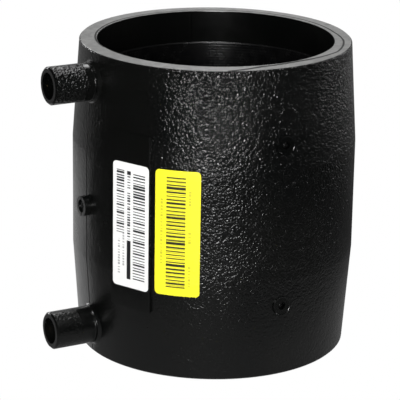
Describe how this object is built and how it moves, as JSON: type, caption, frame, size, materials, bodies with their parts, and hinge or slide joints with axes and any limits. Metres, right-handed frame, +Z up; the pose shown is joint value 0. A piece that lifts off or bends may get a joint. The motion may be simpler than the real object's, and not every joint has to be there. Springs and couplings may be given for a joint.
{
  "type": "electrofusion coupler",
  "caption": "Straight black polyethylene coupler with two shrouded terminals, heating coils in its bore, fusion indicators and two bare labels.",
  "frame": {"origin": "on the bore axis, in the plane of the lower end face", "axes": "+Z up the bore; the terminals point to -X; the fusion indicators face -Y"},
  "size_m": [0.1544, 0.1352, 0.1478],
  "materials": {
    "black_polyethylene": "glossy black with a spark-eroded grain",
    "coated_wire": "glossy black wire coating",
    "pin_brass": "turned brass",
    "indicator_polyethylene": "smooth black",
    "white_film": "satin printed film",
    "yellow_film": "satin printed film"
  },
  "bodies": {
    "root": {"coupler_body": "black_polyethylene", "heating_coil": "coated_wire", "terminal_pin_upper": "pin_brass", "terminal_pin_lower": "pin_brass", "fusion_indicator_upper": "indicator_polyethylene", "fusion_indicator_lower": "indicator_polyethylene", "white_label": "white_film", "yellow_label": "yellow_film"}
  },
  "joints": []
}
